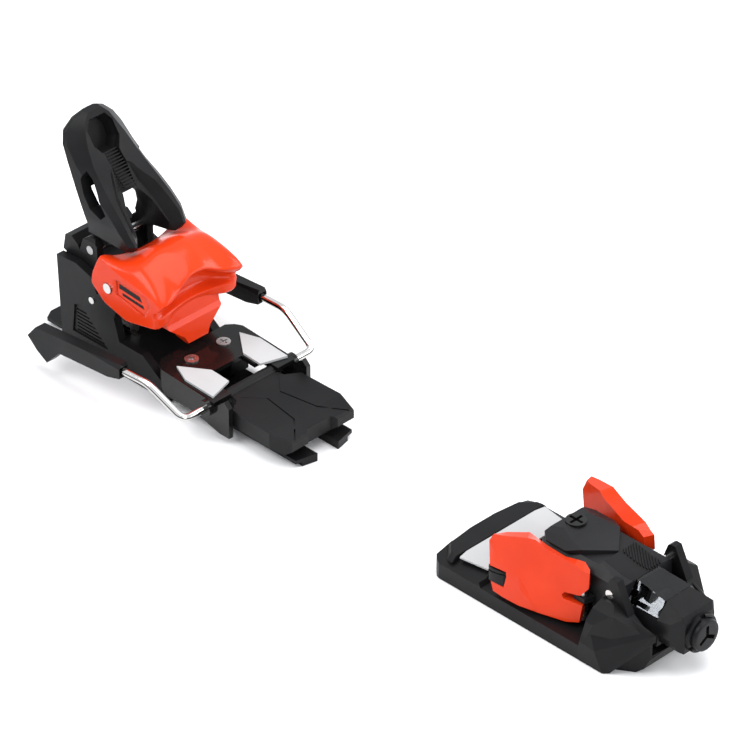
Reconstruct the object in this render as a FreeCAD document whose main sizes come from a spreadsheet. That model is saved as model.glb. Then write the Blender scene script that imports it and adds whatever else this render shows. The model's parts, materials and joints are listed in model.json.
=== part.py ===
import FreeCAD, Part
import os
import re
import Sketcher

# Step-in ski binding: a toe unit and a heel unit with a ski brake, for one ski.
# Frame, in mm: origin at the centre of the toe screw pattern on the ski's top face,
# +X towards the ski tip, +Y to the skier's left, +Z up.

os.makedirs("parts", exist_ok=True)
doc = FreeCAD.newDocument("ski_binding")

# Driving dimensions: alias, value in mm, meaning.
DIMENSIONS = [
    ("running_gap", 0.05, "radial gap of every turning or sliding fit"),
    ("screw_hole_radius", 2.9, "clearance hole for a 5.5 mm ski screw"),
    ("screw_head_radius", 5.2, "counterbore for the ski screw's head"),
    ("toe_screw_pitch_x", 42.0, "toe screws, spacing along the ski"),
    ("toe_screw_pitch_y", 36.0, "toe screws, spacing across the ski"),
    ("heel_screw_pitch_x", 190.0, "heel screws, spacing along the ski"),
    ("heel_screw_pitch_y", 34.0, "heel screws, spacing across the ski"),
    ("heel_screw_x", -345.0, "centre of the heel screw pattern"),
    ("base_half_width", 44.5, "toe base, half of its width"),
    ("base_rear_x", -84.0, "toe base, rear end"),
    ("base_front_x", 82.0, "toe base, front end"),
    ("base_deck_z", 10.5, "toe base, deck under the wings"),
    ("base_rear_z", 16.5, "toe base, deck that carries the sliding plate"),
    ("tilt_pin_x", 50.7, "pin on which the toe unit tilts"),
    ("tilt_pin_z", 44.8, "height of the tilt pin"),
    ("tilt_pin_radius", 3.0, "tilt pin"),
    ("height_screw_x", -3.8, "screw that sets the toe height"),
    ("height_screw_radius", 4.0, "shank of the height screw"),
    ("height_head_radius", 6.7, "head of the height screw"),
    ("wing_pin_x", 28.0, "vertical pins of the toe wings"),
    ("wing_pin_y", 26.0, "distance of each wing pin from the middle"),
    ("wing_pin_radius", 2.5, "wing pins"),
    ("toe_axis_z", 27.0, "axis of the toe spring"),
    ("toe_rod_radius", 3.0, "rod through the toe spring"),
    ("nose_radius", 10.75, "round nose of the toe adjusting screw"),
    ("nose_front_x", 104.0, "front face of the nose"),
    ("track_rear_x", -456.5, "heel track, rear end"),
    ("track_front_x", -217.0, "heel track, tips of the two prongs"),
    ("track_half_width", 24.8, "heel track, half of its width"),
    ("track_top_z", 5.7, "heel track, upper face"),
    ("chassis_rear_x", -431.0, "heel chassis, rear face"),
    ("chassis_half_width", 31.0, "heel chassis, half of its width"),
    ("cup_axle_x", -379.0, "axle of the heel cup"),
    ("cup_axle_z", 67.4, "height of the cup axle"),
    ("cup_axle_radius", 3.5, "cup axle"),
    ("lever_axle_x", -408.2, "axle of the heel lever"),
    ("lever_axle_z", 77.4, "height of the lever axle"),
    ("lever_axle_radius", 3.0, "lever axle"),
    ("heel_axis_z", 48.0, "axis of the heel spring"),
    ("brake_axle_x", -288.3, "axle of the ski brake"),
    ("brake_axle_z", 19.5, "height of the brake axle"),
    ("brake_wire_radius", 2.6, "steel wire of the brake"),
    ("brake_arm_y", 61.0, "middle plane of each brake arm"),
]

sheet = doc.addObject("Spreadsheet::Sheet", "Dims")
for row, (alias, value, meaning) in enumerate(DIMENSIONS, start=1):
    sheet.set(f"A{row}", meaning)
    sheet.set(f"B{row}", str(value))
    sheet.setAlias(f"B{row}", alias)
doc.recompute()

V = FreeCAD.Vector
NODES = []
PLANES = {"XY": "XY_Plane", "XZ": "XZ_Plane", "YZ": "YZ_Plane"}
FAR = 700.0


# ---------------------------------------------------------------- drawing helpers

def bound(expression):
    """The expression with every alias turned into a reference to the spreadsheet."""
    return re.sub(r"[a-z][a-z_]*", lambda name: "Dims." + name.group(0), str(expression))


def value(expression):
    return float(sheet.evalExpression(bound(expression)))


def rect(a0, b0, a1, b1):
    return [(a0, b0), (a1, b0), (a1, b1), (a0, b1)]


def circle(a, b, radius):
    return {"centre": (a, b), "radius": radius}


def mirrored(loops, coordinate):
    """The loops, and the same loops with one coordinate (0 or 1) negated."""
    twins = []
    for loop in loops:
        if isinstance(loop, dict):
            centre = list(loop["centre"])
            centre[coordinate] = f"-({centre[coordinate]})"
            twins.append(circle(centre[0], centre[1], loop["radius"]))
        else:
            points = [list(point) for point in loop]
            for point in points:
                point[coordinate] = f"-({point[coordinate]})"
            twins.append(points)
    return list(loops) + twins


def symmetric(outline):
    """A closed outline from its +a half, given from bottom to top."""
    return list(outline) + [(f"-({a})", b) for a, b in reversed(outline)]


def drive(sketch, index, expression):
    if isinstance(expression, str):
        sketch.setExpression(f"Constraints[{index}]", bound(expression))


def place_point(sketch, geometry, vertex, point):
    for kind, expression in zip(("DistanceX", "DistanceY"), point):
        rule = Sketcher.Constraint(kind, -1, 1, geometry, vertex, value(expression))
        drive(sketch, sketch.addConstraint(rule), expression)


def draw_polygon(sketch, points):
    corners = [V(value(a), value(b), 0) for a, b in points]
    count = len(corners)
    lines = [Part.LineSegment(corners[i], corners[(i + 1) % count]) for i in range(count)]
    first = sketch.addGeometry(lines, False)[0]
    for i in range(count):
        joint = Sketcher.Constraint("Coincident", first + i, 2, first + (i + 1) % count, 1)
        sketch.addConstraint(joint)
    for i, point in enumerate(points):
        place_point(sketch, first + i, 1, point)


def draw_circle(sketch, centre, radius):
    middle = V(value(centre[0]), value(centre[1]), 0)
    index = sketch.addGeometry(Part.Circle(middle, V(0, 0, 1), value(radius)), False)
    place_point(sketch, index, 3, centre)
    rule = Sketcher.Constraint("Radius", index, value(radius))
    drive(sketch, sketch.addConstraint(rule), radius)


def new_sketch(body, plane, loops, at):
    sketch = body.newObject("Sketcher::SketchObject", body.Label + "_sketch")
    support = [f for f in body.Origin.OriginFeatures if f.Role == PLANES[plane]][0]
    sketch.AttachmentSupport = [(support, "")]
    sketch.MapMode = "FlatFace"
    offset = f"-({at})" if plane == "XZ" else str(at)
    sketch.setExpression("AttachmentOffset.Base.z", bound(offset))
    for loop in loops:
        if isinstance(loop, dict):
            draw_circle(sketch, loop["centre"], loop["radius"])
        else:
            draw_polygon(sketch, loop)
    return sketch


def new_body(label):
    body = doc.addObject("PartDesign::Body", label)
    body.Label = label
    NODES.append(body)
    return body


def extrude(body, kind, plane, loops, start, end):
    """Add or cut the loops from one coordinate to another, along the plane's normal axis."""
    sketch = new_sketch(body, plane, loops, start)
    feature = body.newObject("PartDesign::" + kind, body.Label + "_" + kind.lower())
    feature.Profile = sketch
    feature.setExpression("Length", bound(f"({end})-({start})"))
    towards_minus = (plane == "XZ") == (kind == "Pad")
    feature.Reversed = towards_minus
    sketch.Visibility = False
    doc.recompute()
    return feature


def pad(body, plane, loops, start, end):
    return extrude(body, "Pad", plane, loops, start, end)


def pocket(body, plane, loops, start, end):
    return extrude(body, "Pocket", plane, loops, start, end)


def trim(body, plane, outline):
    """Cut away everything outside the outline, seen along the plane's normal axis."""
    return pocket(body, plane, [rect(-FAR, -FAR, FAR, FAR), outline], -FAR, FAR)


def bevel(body, size, chosen):
    """Chamfer the straight edges whose middle point the given rule chooses."""
    tip = body.Tip
    names = []
    for number, edge in enumerate(tip.Shape.Edges, start=1):
        if edge.Curve.TypeId == "Part::GeomLine" and chosen(edge.CenterOfMass, edge):
            names.append(f"Edge{number}")
    feature = body.newObject("PartDesign::Chamfer", body.Label + "_bevel")
    feature.Base = (tip, names)
    feature.Size = size
    doc.recompute()
    return feature


def along(edge, axis):
    """True for a straight edge that runs along the axis (0, 1 or 2)."""
    direction = edge.Curve.Direction
    return abs(direction[axis]) > 0.999


def pin(label, plane, a, b, radius, start, end):
    body = new_body(label)
    pad(body, plane, [circle(a, b, radius)], start, end)
    return body


def screw(label, plane, a, b, shank, head, start, neck, end):
    """A screw along the plane's normal axis: shank from start to neck, head from neck to end."""
    body = new_body(label)
    pad(body, plane, [circle(a, b, shank)], start, neck)
    pad(body, plane, [circle(a, b, head)], neck, end)
    return body


def spring(label, axis_x, axis_z, radius, wire, length, pitch):
    """A compression spring along +X, starting at axis_x."""
    spine = doc.addObject("Part::Helix", label + "_spine")
    spine.Pitch = pitch
    spine.Height = length
    spine.Radius = radius
    section = doc.addObject("Part::Circle", label + "_section")
    section.Radius = wire
    section.Placement = FreeCAD.Placement(V(radius, 0, 0), FreeCAD.Rotation(V(1, 0, 0), 90))
    coil = doc.addObject("Part::Sweep", label)
    coil.Label = label
    coil.Sections = [section]
    coil.Spine = (spine, ["Edge1"])
    coil.Solid = True
    coil.Frenet = True
    coil.Placement = FreeCAD.Placement(V(0, 0, 0), FreeCAD.Rotation(V(0, 1, 0), 90))
    coil.setExpression("Placement.Base.x", bound(axis_x))
    coil.setExpression("Placement.Base.z", bound(axis_z))
    NODES.append(coil)
    doc.recompute()
    return coil


# ---------------------------------------------------------------- toe unit, fixed parts

def toe_base():
    body = new_body("toe_base")
    side = [("base_rear_x", 0), ("base_rear_x + 1", 6), ("base_rear_x + 3", "base_rear_z"),
            (-44, "base_rear_z"), (-40, "base_deck_z"), (41, "base_deck_z"), (46.7, 41.3),
            (57, 41.3), ("base_front_x", 25), ("base_front_x", 12), (78, 3), (74, 0)]
    pad(body, "XZ", [side], "-base_half_width", "base_half_width")
    plan = [("base_front_x", 12), ("base_front_x - 1", 25), (62, 37), (44, "base_half_width"),
            (-77, "base_half_width"), ("base_rear_x", 38)]
    trim(body, "XY", plan + [(x, f"-({y})") for x, y in reversed(plan)])
    trim(body, "YZ", symmetric([("base_half_width", -1), ("base_half_width", 11), (42, 28.5),
                                (38, 37.6), (30, 42)]))
    shoulder = [(27.7, "base_rear_z + 0.2"), (46, 10.9), (46, 20), (27.7, 20)]
    pocket(body, "YZ", mirrored([shoulder], 0), "base_rear_x - 2", -42)
    pocket(body, "YZ", [rect(-23, 12.5, 23, 60)], 36, 90)
    ears = [(44, 38), (50, 54.5), (52, 55.9), (56, 55.9), (66, 36), (60, 28), (48, 28)]
    pad(body, "XZ", [ears], 23, 28.5)
    pad(body, "XZ", [ears], -28.5, -23)
    pocket(body, "XZ", [circle("tilt_pin_x", "tilt_pin_z", "tilt_pin_radius")], -30, 30)
    holes = screw_pattern(0, "toe_screw_pitch_x", "toe_screw_pitch_y", "screw_hole_radius")
    heads = screw_pattern(0, "toe_screw_pitch_x", "toe_screw_pitch_y", "screw_head_radius")
    pocket(body, "XY", holes, -1, 30)
    pocket(body, "XY", heads, 5, 30)
    pocket(body, "XY", [rect("height_screw_x - 9", -9, "height_screw_x + 9", 9)], 3, 30)
    pocket(body, "XY", [rect(-68, -30, -48, 30)], 11, 30)
    bevel(body, 1.5, lambda p, e: along(e, 2) and abs(p.y) > 42)
    return body


def screw_pattern(centre_x, pitch_x, pitch_y, radius):
    """Four circles on a rectangle, in the XY plane."""
    return [circle(f"{centre_x} + ({pitch_x}) * {i / 2}", f"({pitch_y}) * {j / 2}", radius)
            for i in (-1, 1) for j in (-1, 1)]


def height_nut():
    """Slotted nut in the toe base; the slot lets the screw lean as the toe unit tilts."""
    body = new_body("height_nut")
    pad(body, "XY", [rect("height_screw_x - 8.8", -8.8, "height_screw_x + 8.8", 8.8)], 3, 10)
    slot = rect("height_screw_x - height_screw_radius - 2.6", "-height_screw_radius - 0.1",
                "height_screw_x + height_screw_radius + 1.2", "height_screw_radius + 0.1")
    pocket(body, "XY", [slot], 2, 11)
    return body


def slide_carrier():
    """Block in the toe base with a cross groove for the sliding plate."""
    body = new_body("slide_carrier")
    pad(body, "XY", [rect(-67.9, -29.9, -48.1, 29.9)], 11, "base_rear_z - 0.1")
    pocket(body, "XY", [rect(-63, -24, -53, 24)], 12.5, 20)
    return body


def slide_plate():
    """Low-friction plate under the boot toe; its key runs in the carrier's groove."""
    body = new_body("slide_plate")
    outline = [(-44.6, 33), (-65.3, 36.4), (-72, 20), (-76.5, 9), (-76.5, -9), (-72, -20),
               (-65.3, -36.4), (-44.6, -33)]
    pad(body, "XY", [outline], "base_rear_z + 0.1", 18.1)
    pad(body, "XY", [rect(-62.95, -15.5, -53.05, 15.5)], 12.6, 17)
    pad(body, "YZ", [[(-9, 17.5), (9, 17.5), (5, 20), (-5, 20)]], -76.4, -73.5)
    bevel(body, 0.6, lambda p, e: p.z > 18.05 and abs(p.y) > 30)
    return body


# ---------------------------------------------------------------- toe unit, tilting parts

def toe_housing():
    body = new_body("toe_housing")
    side = [(-15, 15), (-15, 46), (-12.5, 50.5), (31, 50.5), (31.5, 51.8), (46.2, 48.6),
            (55, 48.6), (55, 36.3), (80, 36.3), (80, 16), (48, 14), (-8, 14)]
    pad(body, "XZ", [side], -22, 22)
    trim(body, "YZ", symmetric([(18, 13), (22, 17), (22, 46), (14, 53)]))
    trim(body, "XY", [(90, 18), (62, 18), (54, 22), (-9, 22), (-16, 17), (-16, -17),
                      (-9, -22), (54, -22), (62, -18), (90, -18)])
    flange = [("wing_pin_x - 7", 20), ("wing_pin_x + 7", 20),
              ("wing_pin_x + 3.5", "wing_pin_y + 3.6"), ("wing_pin_x - 5", "wing_pin_y + 3.6")]
    pad(body, "XY", mirrored([flange], 1), 28, 31.6)
    pins = mirrored([circle("wing_pin_x", "wing_pin_y", "wing_pin_radius")], 1)
    pocket(body, "XY", pins, 10, 60)
    pocket(body, "YZ", [circle(0, "toe_axis_z", 9.2)], 34, 90)
    pocket(body, "YZ", [circle(0, "toe_axis_z", "toe_rod_radius + running_gap")], 1, 40)
    pocket(body, "YZ", [rect(-21, 19.5, 21, 31.5)], 2, 31)
    pocket(body, "YZ", [rect(-24, 19.5, 24, 26.5)], 2, 31)
    pocket(body, "XZ", [circle("tilt_pin_x", "tilt_pin_z", "tilt_pin_radius + running_gap")],
           -30, 30)
    bore = circle("height_screw_x", 0, "height_screw_radius + running_gap")
    pocket(body, "XY", [bore], 10, 60)
    for groove in range(4):
        x = 33 + 3 * groove
        pocket(body, "XZ", [[(x, 60), (x + 1.2, 60), (x + 1.2, 50.4 - 0.65 * groove),
                             (x, 50.6 - 0.65 * groove)]], -12, 12)
    return body


def toe_cover():
    """Top cover with a raised ring round the height screw and a pointed front."""
    body = new_body("toe_cover")
    plan = [(31.2, 0), (17, 16.5), (8, 21.8), (-8, 21.8), (-13.8, 17)]
    plan += [(x, f"-({y})") for x, y in reversed(plan[1:])]
    pad(body, "XY", [plan], 50.6, 57.4)
    trim(body, "XZ", [(-14, 50), (-14, 52), (-12, 55.5), (-4, 57.2), (5, 55.2), (31.3, 52.4),
                      (31.3, 50)])
    trim(body, "YZ", symmetric([(23, 50), (23, 51), (16, 54.2), (10, 57.6)]))
    head = circle("height_screw_x", 0, "height_head_radius + running_gap")
    pocket(body, "XY", [head], 50, 60)
    return body


def height_screw():
    body = screw("height_screw", "XY", "height_screw_x", 0, "height_screw_radius",
                 "height_head_radius", 4.5, 50.65, 57.8)
    cross_slot(body, "XY", "height_screw_x", 0, 5.2, 1.0, 55.3, 60)
    return body


def cross_slot(body, plane, a, b, reach, half, start, end):
    """Cross recess in a screw's head."""
    pocket(body, plane, [rect(f"{a} - {reach}", f"{b} - {half}", f"{a} + {reach}",
                              f"{b} + {half}")], start, end)
    pocket(body, plane, [rect(f"{a} - {half}", f"{b} - {reach}", f"{a} + {half}",
                              f"{b} + {reach}")], start, end)


def toe_window():
    """Clear roof over the toe indicator."""
    body = new_body("toe_window")
    pad(body, "XZ", [[(55.1, 36.4), (55.1, 48.4), (57, 48.5), (79.9, 46), (79.9, 36.4)]],
        -18, 18)
    trim(body, "YZ", symmetric([(18, 36), (18, 37), (9.5, 48.6)]))
    pocket(body, "XZ", [[(57.5, 30), (57.5, 46.2), (77.5, 44), (77.5, 30)]], -8, 8)
    pocket(body, "XY", [rect(57.5, -14, 77.5, 14)], 36, 38.5)
    return body


def toe_cap():
    """Front cap that closes the housing and carries the nose."""
    body = new_body("toe_cap")
    pad(body, "XZ", [[(80.1, 15), (80.1, 46), (95.6, 42.7), (97.5, 38), (97.5, 17), (94, 14.5)]],
        -20, 20)
    trim(body, "YZ", symmetric([(9, 14), (15, 18), (19, 27), (19, 36), (9.8, 46.5)]))
    trim(body, "XY", [(79, -19), (90, -18), (99, -11.8), (99, 11.8), (90, 18), (79, 19)])
    pocket(body, "YZ", [circle(0, "toe_axis_z", 9.2)], 79, 86)
    pocket(body, "YZ", [circle(0, "toe_axis_z", "nose_radius + running_gap")], 85, 110)
    bevel(body, 1.2, lambda p, e: p.x > 96.5 and p.z > 30 and abs(p.y) > 3)
    return body


def toe_adjusting_screw():
    """Round slotted nose with a tube that turns on the rod."""
    body = new_body("toe_adjusting_screw")
    pad(body, "YZ", [circle(0, "toe_axis_z", "nose_radius")], 86.2, "nose_front_x")
    pad(body, "YZ", [circle(0, "toe_axis_z", 5.5)], 77, 90)
    pocket(body, "YZ", [circle(0, "toe_axis_z", "toe_rod_radius + running_gap")], 70, 94)
    pocket(body, "YZ", [rect(-8.5, "toe_axis_z - 1.1", 8.5, "toe_axis_z + 1.1")],
           "nose_front_x - 3", "nose_front_x + 5")
    return body


def toe_rod():
    """Rod with a cross head that the wings push to the rear."""
    body = new_body("toe_rod")
    pad(body, "YZ", [circle(0, "toe_axis_z", "toe_rod_radius")], 12, 85)
    pad(body, "YZ", [rect(-20, 20.5, 20, 30.5)], 10.5, 16.5)
    bevel(body, 1.5, lambda p, e: along(e, 0))
    return body


def toe_spring_seat():
    """Disc that ends the toe spring; its tab is the indicator seen through the window."""
    body = new_body("toe_spring_seat")
    pad(body, "YZ", [circle(0, "toe_axis_z", 9.0)], 70.5, 74)
    pocket(body, "YZ", [circle(0, "toe_axis_z", "toe_rod_radius + running_gap")], 60, 80)
    return body


def toe_indicator():
    """Scale tab under the window."""
    body = new_body("toe_indicator")
    pad(body, "XY", [rect(65, -6, 69, 6)], 36.4, 38.4)
    return body


def wing(label, side):
    """Jaw that holds the boot toe, toed in to the front; side is 1 for left and -1 for right."""
    body = new_body(label)
    profile = [(-38, 43.4), (-34.5, 50), (-31, 55.5), (-22, 57.5), (-8, 60.5), (-3, 60), (8, 56),
               (20, 53.5), (27, 54), (34, 51.5), (35.5, 46), (32.5, 38), (28, 33.5), (34, 28),
               (32, 15), (26, 12.8), (-31, 12.8), (-34, 20), (-34.5, 31), (-38.5, 38)]
    low, high = (22.6, 45) if side > 0 else (-45, -22.6)
    pad(body, "XZ", [profile], low, high)
    plan = [(-39, 38), (-36, 43.5), (-30, 44.3), (33, 31.5), (36.5, 30.2), (37.5, 28.5),
            (37, 27.6), (34, 25.7), (30, 23.6), (28, 22.7), (-12.5, 22.7), (-25, 29.5), (-36, 36)]
    front = [(22.6, 12), (44.3, 12), (44.3, 40), (43.2, 50), (41, 58), (38, 62), (30, 62),
             (25.5, 56), (22.6, 50)]
    trim(body, "XY", [(x, side * y) for x, y in plan])
    trim(body, "YZ", [(side * y, z) for y, z in front])
    slot_low, slot_high = (40, 46) if side > 0 else (-46, -40)
    pocket(body, "XZ", [[(-36, 31), (-20, 32.5), (-20, 29), (-21.8, 20.5), (-37, 20.5)]],
           slot_low, slot_high)
    notch_low, notch_high = (21, 40) if side > 0 else (-40, -21)
    pocket(body, "XZ", [[(16, 29.5), (18, 32), (42, 32), (42, 27.4), (18, 27.4)]],
           notch_low, notch_high)
    lug_low, lug_high = (16, 24) if side > 0 else (-24, -16)
    pad(body, "XZ", [rect(24.5, 21, 31, 26)], lug_low, lug_high)
    pocket(body, "XY", [circle("wing_pin_x", f"{side} * wing_pin_y",
                               "wing_pin_radius + running_gap")], 10, 45.5)
    return body


def wing_pad(label, side):
    """Dark insert in the rear slot of a wing."""
    body = new_body(label)
    low, high = (40.05, 44.8) if side > 0 else (-44.8, -40.05)
    pad(body, "XZ", [[(-34, 30.8), (-20.2, 32.2), (-20.2, 29), (-22, 20.7), (-33.6, 20.7)]],
        low, high)
    plan = [(-36, 39), (-36, 44.2), (-30, 44.8), (-19, 42.6), (-19, 39)]
    trim(body, "XY", [(x, side * y) for x, y in plan])
    return body


# ---------------------------------------------------------------- heel unit, fixed parts

def heel_track():
    body = new_body("heel_track")
    pad(body, "YZ", [symmetric([(20, 0), (20, 3.1), ("track_half_width", 3.1),
                                ("track_half_width", "track_top_z")])],
        "track_rear_x", "track_front_x")
    trim(body, "XY", [("track_front_x", 10), ("track_front_x - 3.5", "track_half_width"),
                      ("track_rear_x + 4", "track_half_width"), ("track_rear_x", 18),
                      ("track_rear_x", -18), ("track_rear_x + 4", "-track_half_width"),
                      ("track_front_x - 3.5", "-track_half_width"), ("track_front_x", -10),
                      ("track_front_x", -9), ("track_front_x - 70", -9),
                      ("track_front_x - 70", 9), ("track_front_x", 9)])
    holes = screw_pattern("heel_screw_x", "heel_screw_pitch_x", "heel_screw_pitch_y",
                          "screw_hole_radius")
    heads = screw_pattern("heel_screw_x", "heel_screw_pitch_x", "heel_screw_pitch_y",
                          "screw_head_radius")
    pocket(body, "XY", holes, -1, 10)
    pocket(body, "XY", heads, 3, 10)
    for tooth in range(16):
        x = -434 + 4 * tooth
        pocket(body, "XY", [rect(x, -6, x + 2, 6)], 4.2, 10)
    return body


# ---------------------------------------------------------------- heel unit, sliding parts

def heel_chassis():
    """Slides on the track; two cheeks hold the spring housing and the cup axle."""
    body = new_body("heel_chassis")
    cheek = [("chassis_rear_x", 6), ("chassis_rear_x - 2.7", 66), (-415.6, 67.2), (-401.5, 63),
             (-396, 52), (-388, 60), ("cup_axle_x - 7", "cup_axle_z"),
             ("cup_axle_x - 4", "cup_axle_z + 6.5"), ("cup_axle_x + 4", "cup_axle_z + 6.5"),
             ("cup_axle_x + 7", "cup_axle_z"), (-376, 52), (-380.5, 40.8), (-375.9, 25), (-354, 25),
             (-330, 8.4), (-330, 6)]
    pad(body, "XZ", [cheek], 25, "chassis_half_width")
    pad(body, "XZ", [cheek], "-chassis_half_width", -25)
    pad(body, "XZ", [rect("chassis_rear_x", 6, -330, 9)], -26, 26)
    pad(body, "XY", [rect("chassis_rear_x", 25, -330, "chassis_half_width")], 0.5, 6.5)
    pad(body, "XY", [rect("chassis_rear_x", "-chassis_half_width", -330, -25)], 0.5, 6.5)
    pad(body, "XY", [rect("chassis_rear_x", 20.2, -330, 25.5)], 0.5, 2.9)
    pad(body, "XY", [rect("chassis_rear_x", -25.5, -330, -20.2)], 0.5, 2.9)
    rail = rect("chassis_rear_x - 2", "-track_half_width - running_gap", -320,
                "track_half_width + running_gap")
    pocket(body, "XY", [rail], 3.0, "track_top_z + running_gap")
    pocket(body, "XZ", [circle("cup_axle_x", "cup_axle_z", "cup_axle_radius")], -40, 40)
    pocket(body, "XZ", [circle(-400.8, 45.6, "2.4 + running_gap")], -40, 40)
    panel = [(-418, 34.7), (-411.6, 37.7), (-386.4, 13.7), (-420.5, 13.4)]
    grooves = [rect(-417, 15 + 2.6 * step, -391.5 - 2.73 * step, 16.2 + 2.6 * step)
               for step in range(7)]
    for side in (1, -1):
        outside = (side * 29.8, side * 32)
        deeper = (side * 28.9, side * 30)
        pocket(body, "XZ", [panel], min(outside), max(outside))
        pocket(body, "XZ", grooves, min(deeper), max(deeper))
    pocket(body, "YZ", [circle(0, 12.2, 4.2)], "chassis_rear_x - 2", "chassis_rear_x + 40")
    return body


def spring_housing():
    """Block between the cheeks; bored for the heel spring, with the lever axle on top."""
    body = new_body("spring_housing")
    side = [("chassis_rear_x + 1", 33), ("chassis_rear_x - 0.5", 66.5), (-434.2, 67.4),
            (-432, 79), (-426, 80.5), (-420, 76), (-418.5, 73), (-415, 83), (-411, 85.5),
            (-405.4, 85.5), (-401.8, 82), (-401.8, 66), (-401.8, 33)]
    pad(body, "XZ", [side], -24.5, 24.5)
    pocket(body, "XZ", [[(-418.8, 72), (-421, 90), (-398, 90), (-398, 66), (-416, 66)]],
           -19.2, 19.2)
    axle = circle("lever_axle_x", "lever_axle_z", "lever_axle_radius")
    pocket(body, "XZ", [axle], -40, 40)
    pocket(body, "YZ", [circle(0, "heel_axis_z", 10.6)], -426, -395)
    pocket(body, "YZ", [circle(0, "heel_axis_z", 8.05)], -440, -420)
    pocket(body, "XZ", [rect(-430, 69, -421, 75)], 22, 30)
    bevel(body, 2.0, lambda p, e: along(e, 0) and p.z > 75 and abs(p.y) > 24)
    return body


def heel_cover_plate():
    """Plate over the front of the carriage, with side skirts and two boot pads."""
    body = new_body("heel_cover_plate")
    pad(body, "XZ", [[(-339.7, 25), (-339.7, 28), (-283, 24.8), (-283, 21.8)]], -36, 36)
    skirt = [(-336.3, 25), (-283, 21.8), (-273.4, 30), (-269.2, 26), (-269.2, 4), (-278, 4),
             (-300, 9.5), (-329, 9.5)]
    pad(body, "XZ", [skirt], 32.5, 36)
    pad(body, "XZ", [skirt], -36, -32.5)
    boss = [circle("brake_axle_x", "brake_axle_z", 5.5)]
    pad(body, "XZ", boss, 31.8, 39.5)
    pad(body, "XZ", boss, -39.5, -31.8)
    trim(body, "XY", [(-341, -24), (-339.7, -28), (-336, -33), (-325, -40), (-268, -40),
                      (-268, 40), (-325, 40), (-336, 33), (-339.7, 28), (-341, 24)])
    pocket(body, "XY", [[(-308, -12.5), (-294, -12.5), (-294, 12.5), (-308, 12.5)]], 20, 40)
    pocket(body, "XY", [rect(-296, -20.5, -280, 20.5)], 20, 40)
    wire = circle("brake_axle_x", "brake_axle_z", "brake_wire_radius + running_gap")
    pocket(body, "XZ", [wire], -60, 60)
    pocket(body, "XY", mirrored([circle(-326.3, 14.1, 2.6)], 1), 20, 40)
    pocket(body, "XY", mirrored([circle(-326.3, 14.1, 4.8)], 1), 26.1, 40)
    return body


def heel_post():
    """Spacer between the carriage floor and the cover plate."""
    body = new_body("heel_post")
    pad(body, "XY", [rect(-338, -24, -314, 24)], 9, 25)
    trim(body, "XZ", [(-338, 8), (-338, 24.8), (-314, 23.4), (-314, 8)])
    pocket(body, "XY", mirrored([circle(-326.3, 14.1, 2.6)], 1), 8, 40)
    pocket(body, "YZ", [rect(-9, 9, 9, 18)], -340, -310)
    return body


def heel_pad(label, side):
    """White five-cornered pad that supports the boot heel."""
    body = new_body(label)
    low, high = (13, 34) if side > 0 else (-34, -13)
    pad(body, "XZ", [[(-327, 27.4), (-327, 28.9), (-286, 26.6), (-286, 25.05)]], low, high)
    corners = [(-325.8, 27.6), (-307.9, 13.8), (-292.2, 13.8), (-286.8, 32.8), (-312.2, 33.2)]
    trim(body, "XY", [(x, side * y) for x, y in corners])
    return body


def plate_screw(label, side):
    body = screw(label, "XY", -326.3, side * 14.1, 2.5, 4.7, 12, 26.1, 28)
    cross_slot(body, "XY", -326.3, side * 14.1, 3, 0.6, 27, 32)
    return body


def length_screw():
    """Worm that moves the carriage along the track's rack."""
    body = screw("length_screw", "YZ", 0, 12.2, 4.1, 4.1, -428, -400, -395)
    pocket(body, "YZ", [rect(-3, 11.5, 3, 12.9)], -429, -426)
    return body


def plunger():
    """Plunger that the heel spring presses against the cup."""
    body = new_body("plunger")
    pad(body, "YZ", [circle(0, "heel_axis_z", 10.5)], -409, -399)
    pad(body, "YZ", [circle(0, "heel_axis_z", 5.0)], -418, -408)
    return body


def heel_adjusting_screw():
    body = new_body("heel_adjusting_screw")
    pad(body, "YZ", [circle(0, "heel_axis_z", 8.0)], -433, -425.9)
    pad(body, "YZ", [circle(0, "heel_axis_z", 10.4)], -425.9, -424)
    pocket(body, "YZ", [rect(-6, "heel_axis_z - 1", 6, "heel_axis_z + 1")], -434, -430.5)
    return body


def heel_indicator():
    body = new_body("heel_indicator")
    pad(body, "XZ", [rect(-427, 69.1, -424, 74.9)], 22.1, 24.6)
    return body


# ---------------------------------------------------------------- heel unit, cup and lever

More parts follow.
